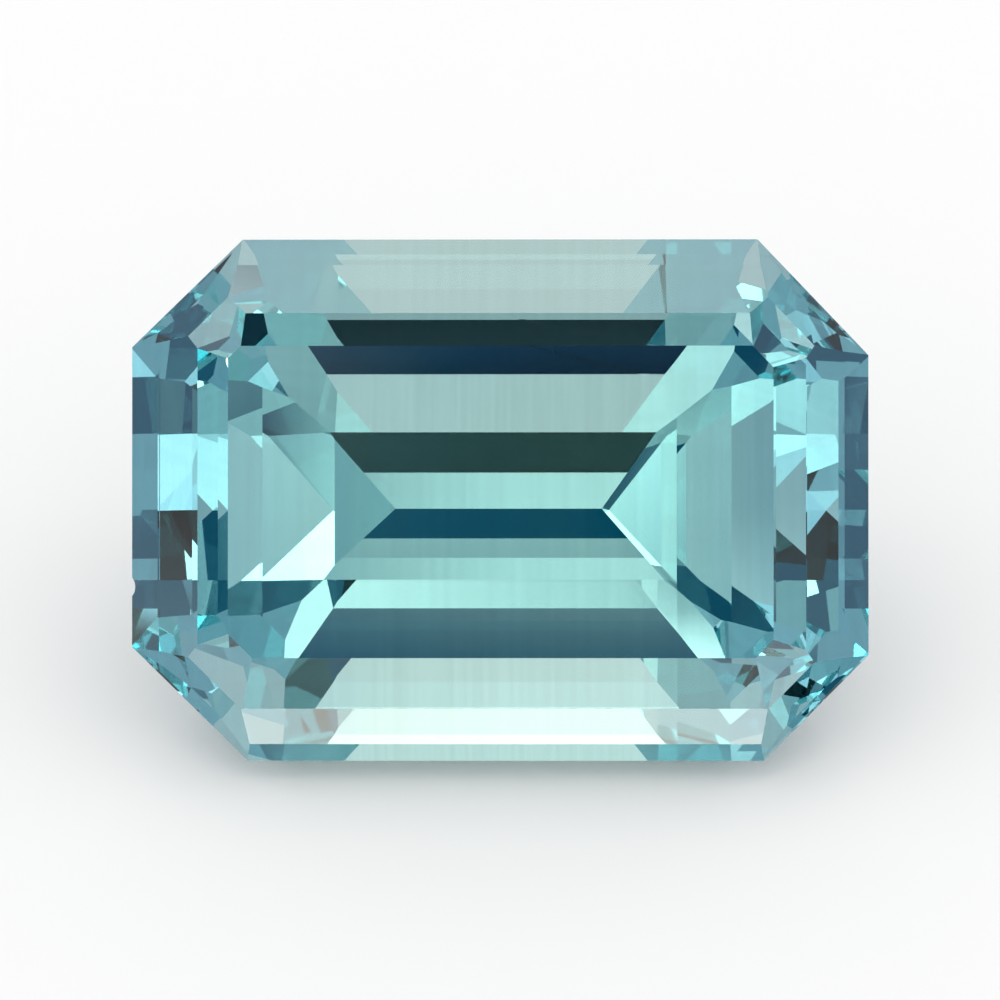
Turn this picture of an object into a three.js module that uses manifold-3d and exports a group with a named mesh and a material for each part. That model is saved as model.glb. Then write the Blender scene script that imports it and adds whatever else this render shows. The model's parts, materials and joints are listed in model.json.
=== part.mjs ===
// A loose sapphire in an octagonal step cut, lying on a facet of its underside.
//
// The stone is laid out the way a cutter plans it, in a frame of its own: x runs along the
// stone, y runs across it, z points out of the table, and z = 0 is the upper edge of the
// girdle. Every side is a run of flat steps, each with a slope from the girdle plane and
// the distance in from the girdle at which it starts. The finished stone is then turned
// about x onto its resting facet. Lengths are in millimetres, angles in degrees.

import * as THREE from 'three';
import { mergeVertices } from 'three/addons/utils/BufferGeometryUtils.js';
import Module from 'manifold-3d';

// Girdle outline, seen square to the table; a corner is cut off along x and across y
const stoneLength = 7.05;
const stoneWidth = 4.99;
const cornerCuts = {
  northEast: { along: 1.06, across: 1.11 },
  northWest: { along: 1.06, across: 1.03 },
  southWest: { along: 1.11, across: 1.09 },
  southEast: { along: 1.0, across: 1.01 },
};
const girdleThickness = 0.06;

// Crown, from the girdle up to the table
const crownHeight = 0.58;
const crownCorner = { slopes: [55.1, 50.8, 23.2], starts: [0, 0.02, 0.32] };
const crownSteps = {
  north: { slopes: [37.4, 32.9, 15.1], starts: [0, 0.25, 0.72] },
  south: { slopes: [46.1, 34.8, 20.2], starts: [0, 0.16, 0.5] },
  west: { slopes: [36.5, 34.5, 21.9], starts: [0, 0.27, 0.65] },
  east: { slopes: [38.7, 36.4, 21.7], starts: [0, 0.23, 0.6] },
  northEast: crownCorner,
  northWest: crownCorner,
  southWest: crownCorner,
  southEast: crownCorner,
};

// Pavilion, from the girdle down to the keel
const cornerSlopes = [60.6, 52.5, 44.3];
const pavilionSteps = {
  north: { slopes: [57.9, 55.4, 36.7], starts: [0, 0.37, 1.82] },
  south: { slopes: [72.5, 52.1, 42.2], starts: [0, 0.2, 1.74] },
  west: { slopes: [61, 52.5, 51.2, 40.6], starts: [0, 0.64, 1.21, 1.89] },
  east: { slopes: [59, 49.6, 47.9, 45.8], starts: [0, 0.74, 1.31, 1.84] },
  northEast: { slopes: cornerSlopes, starts: [0, 0.89, 1.29] },
  northWest: { slopes: cornerSlopes, starts: [0, 0.97, 1.37] },
  southWest: { slopes: cornerSlopes, starts: [0, 1.05, 1.45] },
  southEast: { slopes: cornerSlopes, starts: [0, 0.84, 1.24] },
};
const pavilionRough = 4;

// A flake is missing from the girdle on the west side
const chipRadius = 0.12;
const chipDepth = 0.05;
const chipY = -0.83;

// The stone lies on the middle step of the south side of its pavilion
const restingSlope = pavilionSteps.south.slopes[1];

const wasm = await Module();
wasm.setup();

// The eight sides of the girdle, anticlockwise: which plan each follows and where it begins
function girdleSides() {
  const x = stoneLength / 2;
  const y = stoneWidth / 2;
  const { northEast, northWest, southWest, southEast } = cornerCuts;
  return [
    { plan: 'east', start: new THREE.Vector2(x, southEast.across - y) },
    { plan: 'northEast', start: new THREE.Vector2(x, y - northEast.across) },
    { plan: 'north', start: new THREE.Vector2(x - northEast.along, y) },
    { plan: 'northWest', start: new THREE.Vector2(northWest.along - x, y) },
    { plan: 'west', start: new THREE.Vector2(-x, y - northWest.across) },
    { plan: 'southWest', start: new THREE.Vector2(-x, southWest.across - y) },
    { plan: 'south', start: new THREE.Vector2(southWest.along - x, -y) },
    { plan: 'southEast', start: new THREE.Vector2(x - southEast.along, -y) },
  ];
}

// A closed geometry as a solid that can be cut
function toSolid(geometry) {
  const bare = geometry.clone();
  bare.deleteAttribute('normal');
  bare.deleteAttribute('uv');
  const merged = mergeVertices(bare);
  const vertProperties = new Float32Array(merged.attributes.position.array);
  const triVerts = new Uint32Array(merged.index.array);
  return new wasm.Manifold(new wasm.Mesh({ numProp: 3, vertProperties, triVerts }));
}

// The solid's surface as flat-shaded geometry
function toGeometry(solid) {
  const mesh = solid.getMesh();
  const geometry = new THREE.BufferGeometry();
  geometry.setAttribute('position', new THREE.BufferAttribute(mesh.vertProperties, 3));
  geometry.setIndex(new THREE.BufferAttribute(mesh.triVerts, 1));
  const flat = geometry.toNonIndexed();
  flat.computeVertexNormals();
  return flat;
}

// The rough: an upright prism of the girdle outline, taller than the finished stone
function makeRough(sides) {
  const outline = new THREE.Shape(sides.map((side) => side.start));
  const prism = new THREE.ExtrudeGeometry(outline, {
    depth: crownHeight + pavilionRough,
    bevelEnabled: false,
  });
  prism.translate(0, 0, -pavilionRough);
  return toSolid(prism);
}

// Everything on the far side of a plane, as a big block whose face lies in that plane
function blockBeyond(normal, point) {
  const size = 4 * stoneLength;
  const block = new THREE.BoxGeometry(size, size, size);
  block.translate(0, 0, size / 2);
  const turn = new THREE.Quaternion().setFromUnitVectors(new THREE.Vector3(0, 0, 1), normal);
  block.applyQuaternion(turn);
  block.translate(point.x, point.y, point.z);
  return toSolid(block);
}

// Grinds one side's steps, upwards from the girdle for the crown or downwards for the pavilion
function grindSide(stone, edge, outwards, steps, girdleZ, upOrDown) {
  let height = 0;
  let ground = stone;
  steps.slopes.forEach((slope, index) => {
    const start = steps.starts[index];
    const tilt = THREE.MathUtils.degToRad(slope);
    const normal = outwards.clone().multiplyScalar(Math.sin(tilt));
    normal.z = upOrDown * Math.cos(tilt);
    const point = edge.clone().addScaledVector(outwards, -start);
    point.z = girdleZ + upOrDown * height;
    ground = ground.subtract(blockBeyond(normal, point));
    const end = steps.starts[index + 1] ?? start;
    height += (end - start) * Math.tan(tilt);
  });
  return ground;
}

// The small hollow that the missing flake left in the girdle
function makeChip() {
  const flake = new THREE.SphereGeometry(chipRadius, 10, 8);
  flake.translate(-stoneLength / 2 - chipRadius + chipDepth, chipY, -girdleThickness / 2);
  return toSolid(flake);
}

function makeStone() {
  const sides = girdleSides();
  let stone = makeRough(sides);
  sides.forEach(({ plan, start }, index) => {
    const next = sides[(index + 1) % sides.length].start;
    const edge = new THREE.Vector3(start.x, start.y, 0);
    const outwards = new THREE.Vector3(next.y - start.y, start.x - next.x, 0).normalize();
    stone = grindSide(stone, edge, outwards, crownSteps[plan], 0, 1);
    stone = grindSide(stone, edge, outwards, pavilionSteps[plan], -girdleThickness, -1);
  });
  return stone.subtract(makeChip());
}

const material = new THREE.MeshStandardMaterial({
  color: 0x5aa8b8,
  roughness: 0.05,
  metalness: 0,
});

const sapphire = new THREE.Mesh(toGeometry(makeStone()), material);
sapphire.name = 'sapphire';
sapphire.rotation.x = THREE.MathUtils.degToRad(restingSlope);

// Set down on the surface, with the origin under the middle of the box around it
const bounds = new THREE.Box3().setFromObject(sapphire, true);
const middle = bounds.getCenter(new THREE.Vector3());
sapphire.position.set(-middle.x, -middle.y, -bounds.min.z);

const group = new THREE.Group();
group.add(sapphire);

export default group;
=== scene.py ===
"""Looks of a loose teal sapphire in an octagonal step cut, lying on one of its facets.

Everything is in metres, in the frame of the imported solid. The stone's own directions are
read from the record: the table's outward normal is the axis of its mount, the length of the
stone runs along X, and the third direction runs up the table.
"""
import json
import logging
import math
from dataclasses import dataclass, field

import bmesh
import bpy
import numpy as np
from mathutils import Matrix, Vector


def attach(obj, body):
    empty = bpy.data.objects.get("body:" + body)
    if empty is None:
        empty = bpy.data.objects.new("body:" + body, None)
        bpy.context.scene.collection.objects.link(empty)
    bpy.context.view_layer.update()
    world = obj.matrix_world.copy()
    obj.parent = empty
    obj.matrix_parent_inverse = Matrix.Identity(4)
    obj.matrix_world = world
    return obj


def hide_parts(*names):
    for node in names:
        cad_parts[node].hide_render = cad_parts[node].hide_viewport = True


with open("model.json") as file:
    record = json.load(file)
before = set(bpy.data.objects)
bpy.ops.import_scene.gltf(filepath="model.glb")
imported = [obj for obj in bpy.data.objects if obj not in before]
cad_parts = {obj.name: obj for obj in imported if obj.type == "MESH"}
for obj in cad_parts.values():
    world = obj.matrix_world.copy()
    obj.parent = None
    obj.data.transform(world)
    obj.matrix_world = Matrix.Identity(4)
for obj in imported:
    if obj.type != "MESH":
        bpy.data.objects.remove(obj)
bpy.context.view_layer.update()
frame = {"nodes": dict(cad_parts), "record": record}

LOG = logging.getLogger("sapphire")

Colour = tuple[float, float, float]

# A vertex this near the far end of the stone lies on the girdle
GIRDLE_REACH = 1e-6

# The most facets that a ray may meet on its way through the stone
MOST_BOUNCES = 24


@dataclass(frozen=True)
class StoneAxes:
    """The stone's own directions and the middle of its girdle, in the row frame.

    length runs along the stone, rise runs up the table from its lower long side to its
    upper one, and normal points out of the table. longest is the stone's reach along its
    length.
    """

    middle: Vector
    length: Vector
    rise: Vector
    normal: Vector
    longest: float

    @classmethod
    def of_node(cls, node: bpy.types.Object, table_axis: list[float]) -> "StoneAxes":
        """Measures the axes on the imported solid.

        The middle is halfway between the outermost vertices along the stone and up the
        table, at the height of the girdle, where the stone is longest.

        Args:
            node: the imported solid.
            table_axis: the outward normal of the table's mount.

        Returns:
            The stone's axes.
        """
        points = np.empty(len(node.data.vertices) * 3, dtype=np.float32)
        node.data.vertices.foreach_get("co", points)
        points = points.reshape(-1, 3).astype(float)
        normal = Vector(table_axis).normalized()
        length = Vector((1.0, 0.0, 0.0))
        rise = normal.cross(length).normalized()
        turn = np.array([length, rise, normal])
        local = points @ turn.T
        low, high = local.min(axis=0), local.max(axis=0)
        girdle = local[local[:, 0] > high[0] - GIRDLE_REACH]
        centre = np.array([(low[0] + high[0]) / 2, (low[1] + high[1]) / 2, girdle[:, 2].max()])
        return cls(
            middle=Vector(centre @ turn),
            length=length,
            rise=rise,
            normal=normal,
            longest=float(high[0] - low[0]),
        )

    def rows(self) -> np.ndarray:
        """Gives the three directions as the rows of a matrix."""
        return np.array([self.length, self.rise, self.normal])


def link_mesh(name: str, vertices: np.ndarray, faces: np.ndarray) -> bpy.types.Object:
    """Makes an object with its place in its mesh and adds it to the scene.

    Args:
        name: the object's name.
        vertices: one row of x, y, z per vertex, in metres.
        faces: one row of vertex numbers per face.

    Returns:
        The new object.
    """
    mesh = bpy.data.meshes.new(name)
    mesh.from_pydata(vertices.tolist(), [], faces.tolist())
    mesh.update()
    made = bpy.data.objects.new(name, mesh)
    bpy.context.scene.collection.objects.link(made)
    return made


def grid_faces(rows: int, columns: int) -> np.ndarray:
    """Numbers the four corners of every cell of a grid of vertices.

    Args:
        rows: how many rows of vertices the grid has.
        columns: how many vertices each row has.

    Returns:
        One row of four vertex numbers per cell.
    """
    corner = np.arange(rows * columns).reshape(rows, columns)
    cells = [corner[:-1, :-1], corner[:-1, 1:], corner[1:, 1:], corner[1:, :-1]]
    return np.stack([cell.ravel() for cell in cells], axis=1)


@dataclass(frozen=True)
class PolishedSapphire:
    """Clear corundum with a teal body colour, greener in the middle and bluer at the ends.

    body_colour and body_density set the absorption along the light's way through the
    stone, per metre. The surface adds colour zones, a cloud, growth streaks and the matt
    girdle. Lengths are in metres, in the stone's own directions.
    """

    ior: float = 1.77
    body_colour: Colour = (0.01, 0.76, 0.78)
    body_density: float = 100.0
    middle_tint: Colour = (0.91, 1.0, 0.96)
    end_tint: Colour = (0.60, 0.75, 0.92)
    zone_start: float = 1.0e-3
    zone_end: float = 3.4e-3
    cloud_size: float = 1.1e-3
    cloud_depth: float = 0.06
    streak_spacing: float = 0.06e-3
    streak_length: float = 2.5e-3
    streak_depth: float = 0.08
    streak_darkest: float = 0.35
    streak_lightest: float = 0.65
    polish_roughness: float = 0.012
    girdle_roughness: float = 0.35
    girdle_height: float = 0.06e-3
    girdle_edge: float = 0.004e-3

    def build(self, axes: StoneAxes) -> bpy.types.Material:
        """Makes the material.

        Args:
            axes: the stone's directions, along which the zones and streaks run.

        Returns:
            The material for the whole stone.
        """
        material = bpy.data.materials.new("polished_sapphire")
        material.use_nodes = True
        tree = material.node_tree
        shader = tree.nodes["Principled BSDF"]
        shader.inputs["IOR"].default_value = self.ior
        shader.inputs["Transmission Weight"].default_value = 1.0
        place = self.stone_place(tree, axes)
        tree.links.new(self.zoned_tint(tree, place), shader.inputs["Base Color"])
        tree.links.new(self.matt_girdle(tree, place), shader.inputs["Roughness"])
        absorption = tree.nodes.new("ShaderNodeVolumeAbsorption")
        absorption.inputs["Color"].default_value = (*self.body_colour, 1.0)
        absorption.inputs["Density"].default_value = self.body_density
        output = tree.nodes["Material Output"]
        tree.links.new(absorption.outputs["Volume"], output.inputs["Volume"])
        return material

    def stone_place(self, tree: bpy.types.NodeTree, axes: StoneAxes) -> bpy.types.NodeSocket:
        """Turns Object coordinates into the stone's own directions.

        Args:
            tree: the material's nodes.
            axes: the stone's directions.

        Returns:
            The place along the stone, up the table and out of it, from the girdle's middle.
        """
        coordinates = tree.nodes.new("ShaderNodeTexCoord")
        mapping = tree.nodes.new("ShaderNodeMapping")
        turn = Matrix(axes.rows().tolist())
        mapping.inputs["Rotation"].default_value = turn.to_euler("XYZ")
        mapping.inputs["Location"].default_value = -(turn @ axes.middle)
        tree.links.new(coordinates.outputs["Object"], mapping.inputs["Vector"])
        return mapping.outputs["Vector"]

    def zoned_tint(
        self, tree: bpy.types.NodeTree, place: bpy.types.NodeSocket
    ) -> bpy.types.NodeSocket:
        """Makes the surface tint: zones along the stone, times the cloud and the streaks.

        The share of the end tint rises smoothly from zone_start to zone_end away from the
        middle.

        Args:
            tree: the material's nodes.
            place: the place in the stone's own directions.

        Returns:
            The tint.
        """
        parts = tree.nodes.new("ShaderNodeSeparateXYZ")
        tree.links.new(place, parts.inputs["Vector"])
        away = tree.nodes.new("ShaderNodeMath")
        away.operation = "ABSOLUTE"
        tree.links.new(parts.outputs["X"], away.inputs[0])
        share = tree.nodes.new("ShaderNodeMapRange")
        share.interpolation_type = "SMOOTHSTEP"
        share.inputs["From Min"].default_value = self.zone_start
        share.inputs["From Max"].default_value = self.zone_end
        tree.links.new(away.outputs["Value"], share.inputs["Value"])
        zone = tree.nodes.new("ShaderNodeMix")
        zone.data_type = "RGBA"
        zone.inputs["A"].default_value = (*self.middle_tint, 1.0)
        zone.inputs["B"].default_value = (*self.end_tint, 1.0)
        tree.links.new(share.outputs["Result"], zone.inputs["Factor"])
        tint = zone.outputs["Result"]
        for shade in (self.cloud(tree, place), self.streaks(tree, place)):
            mix = tree.nodes.new("ShaderNodeMix")
            mix.data_type = "RGBA"
            mix.blend_type = "MULTIPLY"
            mix.inputs["Factor"].default_value = 1.0
            tree.links.new(tint, mix.inputs["A"])
            tree.links.new(shade, mix.inputs["B"])
            tint = mix.outputs["Result"]
        return tint

    def cloud(self, tree: bpy.types.NodeTree, place: bpy.types.NodeSocket) -> bpy.types.NodeSocket:
        """Makes the faint cloud: large noise that darkens the tint by up to cloud_depth.

        Args:
            tree: the material's nodes.
            place: the place in the stone's own directions.

        Returns:
            The share of light that the cloud lets through.
        """
        noise = tree.nodes.new("ShaderNodeTexNoise")
        noise.inputs["Scale"].default_value = 1 / self.cloud_size
        tree.links.new(place, noise.inputs["Vector"])
        depth = tree.nodes.new("ShaderNodeMapRange")
        depth.inputs["To Min"].default_value = 1 - self.cloud_depth
        tree.links.new(noise.outputs["Fac"], depth.inputs["Value"])
        return depth.outputs["Result"]

    def streaks(
        self, tree: bpy.types.NodeTree, place: bpy.types.NodeSocket
    ) -> bpy.types.NodeSocket:
        """Makes the fine growth streaks that run up the table.

        They are noise drawn out streak_length long and streak_spacing apart, which darkens
        the tint by up to streak_depth. Noise under streak_darkest is darkest, and noise over
        streak_lightest lets everything through.

        Args:
            tree: the material's nodes.
            place: the place in the stone's own directions.

        Returns:
            The share of light that the streaks let through.
        """
        stretch = tree.nodes.new("ShaderNodeMapping")
        stretch.inputs["Scale"].default_value = (
            1 / self.streak_spacing,
            1 / self.streak_length,
            1 / self.streak_length,
        )
        tree.links.new(place, stretch.inputs["Vector"])
        noise = tree.nodes.new("ShaderNodeTexNoise")
        noise.inputs["Scale"].default_value = 1.0
        noise.inputs["Detail"].default_value = 1.0
        tree.links.new(stretch.outputs["Vector"], noise.inputs["Vector"])
        depth = tree.nodes.new("ShaderNodeMapRange")
        depth.inputs["From Min"].default_value = self.streak_darkest
        depth.inputs["From Max"].default_value = self.streak_lightest
        depth.inputs["To Min"].default_value = 1 - self.streak_depth
        tree.links.new(noise.outputs["Fac"], depth.inputs["Value"])
        return depth.outputs["Result"]

    def matt_girdle(
        self, tree: bpy.types.NodeTree, place: bpy.types.NodeSocket
    ) -> bpy.types.NodeSocket:
        """Makes the roughness: polished all over, matt on the girdle's thin band.

        The band lies from girdle_height below the girdle's upper edge up to that edge, and
        fades out over its last girdle_edge on both sides.

        Args:
            tree: the material's nodes.
            place: the place in the stone's own directions.

        Returns:
            The roughness.
        """
        half_height = self.girdle_height / 2
        parts = tree.nodes.new("ShaderNodeSeparateXYZ")
        tree.links.new(place, parts.inputs["Vector"])
        off = tree.nodes.new("ShaderNodeMath")
        off.operation = "ADD"
        off.inputs[1].default_value = half_height
        tree.links.new(parts.outputs["Z"], off.inputs[0])
        away = tree.nodes.new("ShaderNodeMath")
        away.operation = "ABSOLUTE"
        tree.links.new(off.outputs["Value"], away.inputs[0])
        band = tree.nodes.new("ShaderNodeMapRange")
        band.inputs["From Min"].default_value = half_height - self.girdle_edge
        band.inputs["From Max"].default_value = half_height
        band.inputs["To Min"].default_value = self.girdle_roughness
        band.inputs["To Max"].default_value = self.polish_roughness
        tree.links.new(away.outputs["Value"], band.inputs["Value"])
        return band.outputs["Result"]


@dataclass
class CutStone:
    """The cut stone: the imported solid's facets as whole flat faces.

    Vertices closer than merge_distance are one, and triangles whose planes differ by less
    than flat_angle belong to one facet.
    """

    axes: StoneAxes
    node: str = "sapphire"
    finish: PolishedSapphire = field(default_factory=PolishedSapphire)
    merge_distance: float = 0.5e-6
    flat_angle: float = math.radians(0.05)

    def build(self) -> bpy.types.Object:
        """Copies the solid, joins its triangles into facets and dresses them.

        Returns:
            The piece that stands for the solid.
        """
        mesh = bpy.data.meshes.new("cut_stone")
        work = bmesh.new()
        work.from_mesh(frame["nodes"][self.node].data)
        bmesh.ops.remove_doubles(work, verts=work.verts, dist=self.merge_distance)
        bmesh.ops.dissolve_limit(
            work, angle_limit=self.flat_angle, verts=work.verts, edges=work.edges
        )
        for face in work.faces:
            face.smooth = False
        work.to_mesh(mesh)
        work.free()
        mesh.update()
        piece = bpy.data.objects.new("cut_stone", mesh)
        bpy.context.scene.collection.objects.link(piece)
        mesh.materials.clear()
        mesh.materials.append(self.finish.build(self.axes))
        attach(piece, "root")
        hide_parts(self.node)
        return piece


@dataclass(frozen=True)
class MattPaint:
    """The floor's matt off-white finish, with no shine."""

    colour: Colour = (0.94, 0.94, 0.94)
    roughness: float = 0.9

    def build(self) -> bpy.types.Material:
        """Makes the material.

        Returns:
            The material for the floor.
        """
        material = bpy.data.materials.new("pale_floor")
        material.use_nodes = True
        shader = material.node_tree.nodes["Principled BSDF"]
        shader.inputs["Base Color"].default_value = (*self.colour, 1.0)
        shader.inputs["Roughness"].default_value = self.roughness
        shader.inputs["Specular IOR Level"].default_value = 0.0
        return material


@dataclass(frozen=True)
class PaleFloor:
    """The plain pale surface that the stone lies on, which the stone itself doesn't see."""

    half_width: float = 0.6
    vertices_per_side: int = 3
    finish: MattPaint = field(default_factory=MattPaint)

    def build(self) -> bpy.types.Object:
        """Makes the floor as one flat sheet at z = 0.

        Returns:
            The floor.
        """
        side = np.linspace(-self.half_width, self.half_width, self.vertices_per_side)
        x, y = np.meshgrid(side, side)
        points = np.stack([x.ravel(), y.ravel(), np.zeros(x.size)], axis=1)
        faces = grid_faces(self.vertices_per_side, self.vertices_per_side)
        floor = link_mesh("floor", points, faces)
        floor.data.materials.append(self.finish.build())
        floor.visible_transmission = False
        floor.visible_glossy = False
        return floor


@dataclass(frozen=True)
class SoftPanel:
    """One soft-edged panel of the light tent, as the stone sees it.

    across and up give its middle in degrees from the table's normal, towards the stone's
    right end and towards the upper long side. A negative brightness makes a dark panel.
    edge is the width over which the panel fades out, in degrees.
    """

    across: float
    up: float
    half_width: float
    half_height: float
    brightness: float
    edge: float = 4.0

    def glow(self, across: np.ndarray, up: np.ndarray) -> np.ndarray:
        """Gives the panel's light at many directions.

        It is the brightness times a smooth step down over each of its four edges.

        Args:
            across: degrees towards the right end, one per direction.
            up: degrees towards the upper long side, one per direction.

        Returns:
            The light at each direction.
        """
        return (
            self.brightness
            * self.fade(across - self.across, self.half_width)
            * self.fade(up - self.up, self.half_height)
        )

    def fade(self, offset: np.ndarray, half: float) -> np.ndarray:
        """Gives how far inside two opposite edges each direction lies.

        The share t runs from 0 outside to 1 inside as a straight line over the edge, and
        is smoothed as t squared times 3 - 2t.

        Args:
            offset: degrees from the panel's middle, one per direction.
            half: half of the panel's size that way, in degrees.

        Returns:
            The share of the brightness at each direction.
        """
        share = np.clip((half - np.abs(offset)) / self.edge + 0.5, 0.0, 1.0)
        return share * share * (3 - 2 * share)


# Front is towards the stone's lower long side and back towards its upper one. High panels
# hang near the table's normal, low ones below the plane of the girdle.
PANELS = {
    "shade over the table": SoftPanel(5, -8, 20, 11, -0.7, 1),
    "left table lamp": SoftPanel(-15, 3, 11, 3, 2.2, 8),
    "small table lamp": SoftPanel(0, 20, 4, 5, 2.8, 1),
    "middle table panel": SoftPanel(0, 8, 12, 5, 0.4, 1),
    "right table panel": SoftPanel(20, -20, 15, 25, 0.7),
    "high back shade": SoftPanel(0, 28, 30, 11, -0.45, 1),
    "high left shade": SoftPanel(-35, 5, 18, 45, -0.45, 1),
    "high left panel": SoftPanel(-35, 5, 10, 40, 1.1, 1),
    "high right shade": SoftPanel(35, 15, 35, 13, -0.45, 1),
    "high front panel": SoftPanel(-25, -30, 45, 15, 0.1, 1),
    "tall front panel": SoftPanel(20, -48, 22, 32, 0.4, 2),
    "wide back panel": SoftPanel(20, 65, 50, 17, 0.8, 1),
    "narrow back panel": SoftPanel(10, 70, 35, 8, 0.7, 2),
    "wide front lamp": SoftPanel(10, -68, 55, 10, 3.5, 1),
    "pale front strip": SoftPanel(0, -82, 16, 4, 0.2, 2),
    "left front lamp": SoftPanel(-25, -75, 3, 35, 2.5, 1),
    "low left panel": SoftPanel(-90, -15, 30, 15, 0.6, 2),
    "low right shade": SoftPanel(75, -55, 40, 20, -1),
    "low back shade": SoftPanel(-10, 97, 18, 19, -0.4, 1),
    "narrow back shade": SoftPanel(0, 86, 18, 3, -0.15, 1),
    "low front shade": SoftPanel(-5, -100, 12, 5, -1.1, 8),
    "low back panel": SoftPanel(0, 114, 16, 26, 0.75),
}


@dataclass(frozen=True)
class GlowingCloth:
    """The tent's cloth, which gives off the light that its vertices keep.

    Rays find the tent only where the stone sends them, so it isn't sampled as a lamp.
    """

    layer: str = "panel_light"

    def build(self) -> bpy.types.Material:
        """Makes the material.

        Returns:
            The material for the tent.
        """
        material = bpy.data.materials.new("tent_cloth")
        material.use_nodes = True
        tree = material.node_tree
        tree.nodes.remove(tree.nodes["Principled BSDF"])
        light = tree.nodes.new("ShaderNodeAttribute")
        light.attribute_name = self.layer
        glow = tree.nodes.new("ShaderNodeEmission")
        tree.links.new(light.outputs["Color"], glow.inputs["Color"])
        tree.links.new(glow.outputs["Emission"], tree.nodes["Material Output"].inputs["Surface"])
        material.cycles.emission_sampling = "NONE"
        return material


@dataclass(frozen=True)
class LightTent:
    """A round tent about the stone, lit by soft panels, seen only in and through the stone.

    The cloth itself glows a little cool all over, and the panels on it are warmer.
    pole_gap keeps the first and last ring just off the two poles, in radians.
    """

    panels: dict[str, SoftPanel]
    glow: float = 0.55
    glow_colour: Colour = (0.93, 1.0, 1.03)
    panel_colour: Colour = (1.1, 1.0, 0.9)
    radius: float = 0.25
    rows: int = 221
    columns: int = 441
    pole_gap: float = 1e-4
    cloth: GlowingCloth = field(default_factory=GlowingCloth)

    def build(self, axes: StoneAxes) -> bpy.types.Object:
        """Makes the tent.

        Its vertices are rings about the table's normal, evenly spaced in the angle from
        that normal, and each keeps the light of the panels at its direction.

        Args:
            axes: the stone's directions.

        Returns:
            The tent.
        """
        away = np.linspace(self.pole_gap, math.pi - self.pole_gap, self.rows)
        around = np.linspace(0.0, 2 * math.pi, self.columns)
        away, around = (part.ravel() for part in np.meshgrid(away, around, indexing="ij"))
        side = np.sin(away)
        local = np.stack([side * np.cos(around), side * np.sin(around), np.cos(away)], axis=1)
        points = local @ axes.rows() * self.radius + np.array(axes.middle)
        tent = link_mesh("light_tent", points, grid_faces(self.rows, self.columns))
        light = self.light(np.degrees(away) * np.cos(around), np.degrees(away) * np.sin(around))
        layer = tent.data.attributes.new(self.cloth.layer, "FLOAT_COLOR", "POINT")
        layer.data.foreach_set("color", light.astype(np.float32).ravel())
        tent.data.materials.append(self.cloth.build())
        tent.visible_camera = False
        tent.visible_diffuse = False
        tent.visible_shadow = False
        return tent

    def light(self, across: np.ndarray, up: np.ndarray) -> np.ndarray:
        """Adds up the cloth's own glow and the panels, and leaves nothing below black.

        Args:
            across: degrees towards the right end, one per direction.
            up: degrees towards the upper long side, one per direction.

        Returns:
            One row of red, green, blue and alpha per direction.
        """
        panel_light = sum(panel.glow(across, up) for panel in self.panels.values())
        light = np.ones((len(across), 4))
        light[:, :3] = self.glow * np.array(self.glow_colour)
        light[:, :3] += panel_light[:, None] * np.array(self.panel_colour)
        return np.clip(light, 0.0, None)


@dataclass(frozen=True)
class Surroundings:
    """The even white light that falls on the floor from above."""

    colour: Colour = (1.0, 1.0, 1.0)
    strength: float = 1.06

    def build(self) -> bpy.types.World:
        """Makes the scene's world.

        Returns:
            The world.
        """
        world = bpy.data.worlds.new("soft_surroundings")
        bpy.context.scene.world = world
        world.use_nodes = True
        background = world.node_tree.nodes["Background"]
        background.inputs["Color"].default_value = (*self.colour, 1.0)
        background.inputs["Strength"].default_value = self.strength
        return world


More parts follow.
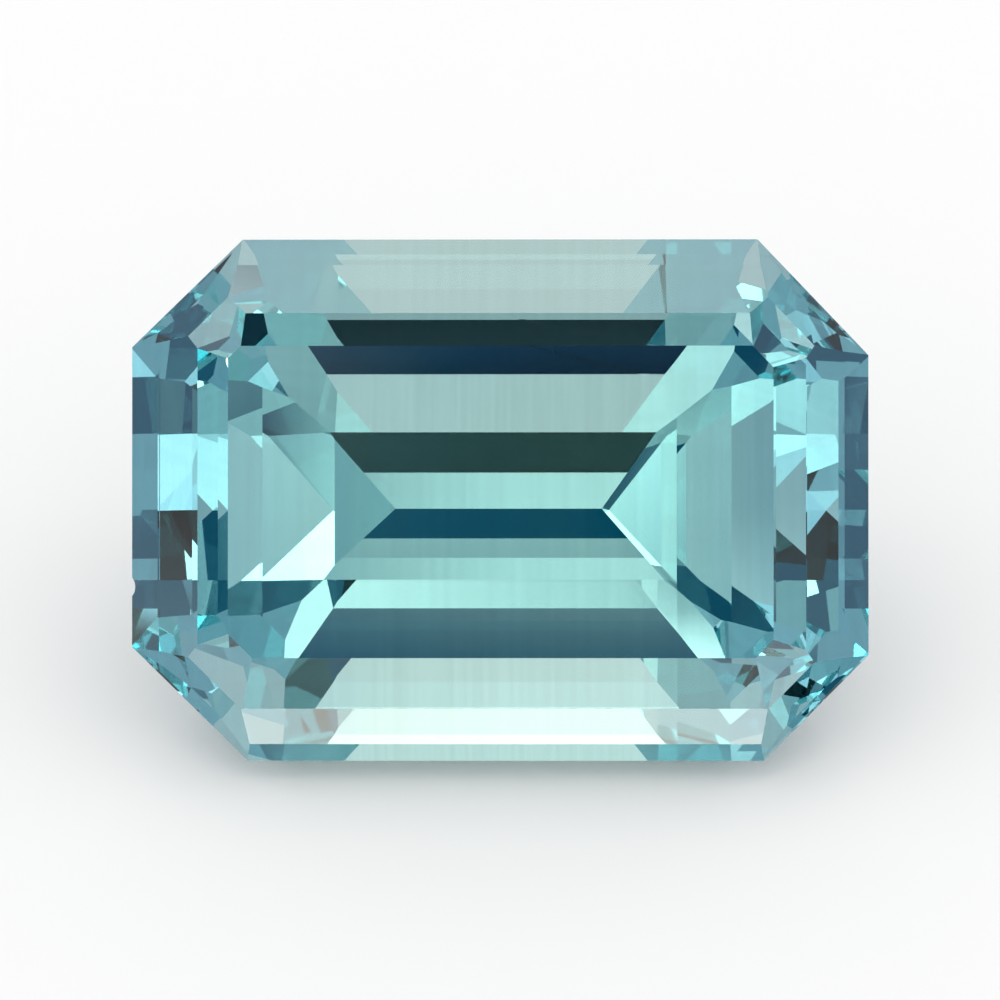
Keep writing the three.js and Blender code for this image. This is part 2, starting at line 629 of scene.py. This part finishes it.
@dataclass(frozen=True)
class Camera:
    """A camera that looks nearly square onto the table.

    below and beside are how far it stands from the table's normal, in degrees, towards
    the lower long side and the right end. outline_share is how much of the picture's
    width the stone takes.
    """

    axes: StoneAxes
    distance: float = 0.1
    outline_share: float = 0.7365
    below: float = 0.8
    beside: float = 1.3
    sensor_width: float = 36.0
    clip_start: float = 0.005
    clip_end: float = 10.0

    def build(self) -> bpy.types.Object:
        """Makes the camera and aims it at the middle of the girdle.

        Returns:
            The camera.
        """
        data = bpy.data.cameras.new("camera")
        data.sensor_width = self.sensor_width
        data.lens = self.sensor_width * self.distance * self.outline_share / self.axes.longest
        data.clip_start = self.clip_start
        data.clip_end = self.clip_end
        down, side = math.radians(self.below), math.radians(self.beside)
        local = Vector((math.sin(side), -math.sin(down), math.cos(side) * math.cos(down)))
        back = (
            self.axes.length * local.x + self.axes.rise * local.y + self.axes.normal * local.z
        ).normalized()
        right = self.axes.rise.cross(back).normalized()
        up = back.cross(right)
        turn = Matrix((right, up, back)).transposed()
        camera = bpy.data.objects.new("camera", data)
        place = self.axes.middle + back * self.distance
        camera.matrix_world = Matrix.Translation(place) @ turn.to_4x4()
        bpy.context.scene.collection.objects.link(camera)
        bpy.context.scene.camera = camera
        return camera


def set_up_picture() -> None:
    """Sets the plain colour view and lets rays meet enough facets inside the stone."""
    scene = bpy.context.scene
    scene.view_settings.view_transform = "Standard"
    scene.cycles.max_bounces = MOST_BOUNCES
    scene.cycles.transmission_bounces = MOST_BOUNCES
    scene.cycles.glossy_bounces = MOST_BOUNCES


def main() -> None:
    """Builds the stone, its surroundings and the camera."""
    logging.basicConfig(level=logging.INFO)
    table = next(mount for mount in frame["record"]["mounts"] if mount["name"] == "table")
    axes = StoneAxes.of_node(frame["nodes"]["sapphire"], table["axis"])
    camera = Camera(axes).build()
    LOG.info("camera: %.0f mm lens", camera.data.lens)
    stone = CutStone(axes).build()
    LOG.info("cut stone: %d facets", len(stone.data.polygons))
    floor = PaleFloor().build()
    LOG.info("floor: %.1f m wide", floor.dimensions.x)
    LightTent(PANELS).build(axes)
    LOG.info("light tent: %d panels", len(PANELS))
    world = Surroundings().build()
    LOG.info("surroundings: %s", world.name)
    set_up_picture()


if __name__ == "__main__":
    main()
